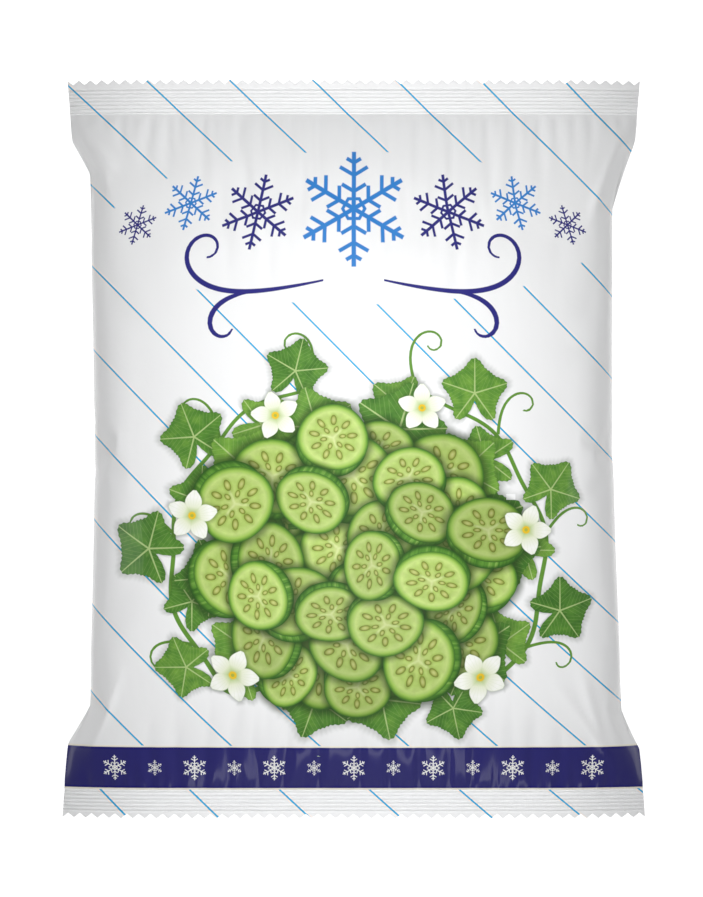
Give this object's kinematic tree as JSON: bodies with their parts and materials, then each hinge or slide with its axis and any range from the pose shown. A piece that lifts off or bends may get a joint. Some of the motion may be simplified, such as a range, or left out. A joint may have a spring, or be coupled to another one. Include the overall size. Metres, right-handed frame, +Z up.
{
  "type": "filled pillow bag of frozen ivy gourd",
  "caption": "Sealed plastic pillow bag with pinked crimped ends and a fin seal, lying on its back, filled with frozen ivy gourd halves.",
  "frame": {"origin": "on the table under the middle of the bag's outer box", "axes": "+X across the bag to the right of its printed front, +Y up the front to the top seal, +Z up out of the printed front"},
  "size_m": [0.19, 0.24, 0.0486],
  "materials": {
    "printed_film": "satin white film, printed",
    "frozen_gourd": "frosted vegetable skin and pale flesh"
  },
  "bodies": {
    "root": {"film_bag": "printed_film", "gourd_half_01": "frozen_gourd", "gourd_half_02": "frozen_gourd", "gourd_half_03": "frozen_gourd", "gourd_half_04": "frozen_gourd", "gourd_half_05": "frozen_gourd", "gourd_half_06": "frozen_gourd", "gourd_half_07": "frozen_gourd", "gourd_half_08": "frozen_gourd", "gourd_half_09": "frozen_gourd", "gourd_half_10": "frozen_gourd", "gourd_half_11": "frozen_gourd", "gourd_half_12": "frozen_gourd", "gourd_half_13": "frozen_gourd", "gourd_half_14": "frozen_gourd", "gourd_half_15": "frozen_gourd", "gourd_half_16": "frozen_gourd", "gourd_half_17": "frozen_gourd", "gourd_half_18": "frozen_gourd", "gourd_half_19": "frozen_gourd", "gourd_half_20": "frozen_gourd", "gourd_half_21": "frozen_gourd", "gourd_half_22": "frozen_gourd", "gourd_half_23": "frozen_gourd", "gourd_half_24": "frozen_gourd", "gourd_half_25": "frozen_gourd", "gourd_half_26": "frozen_gourd", "gourd_half_27": "frozen_gourd", "gourd_half_28": "frozen_gourd", "gourd_half_29": "frozen_gourd", "gourd_half_30": "frozen_gourd", "gourd_half_31": "frozen_gourd", "gourd_half_32": "frozen_gourd", "gourd_half_33": "frozen_gourd", "gourd_half_34": "frozen_gourd", "gourd_half_35": "frozen_gourd", "gourd_half_36": "frozen_gourd", "gourd_half_37": "frozen_gourd", "gourd_half_38": "frozen_gourd", "gourd_half_39": "frozen_gourd", "gourd_half_40": "frozen_gourd", "gourd_half_41": "frozen_gourd", "gourd_half_42": "frozen_gourd", "gourd_half_43": "frozen_gourd", "gourd_half_44": "frozen_gourd", "gourd_half_45": "frozen_gourd", "gourd_half_46": "frozen_gourd", "gourd_half_47": "frozen_gourd", "gourd_half_48": "frozen_gourd", "gourd_half_49": "frozen_gourd", "gourd_half_50": "frozen_gourd"}
  },
  "joints": []
}
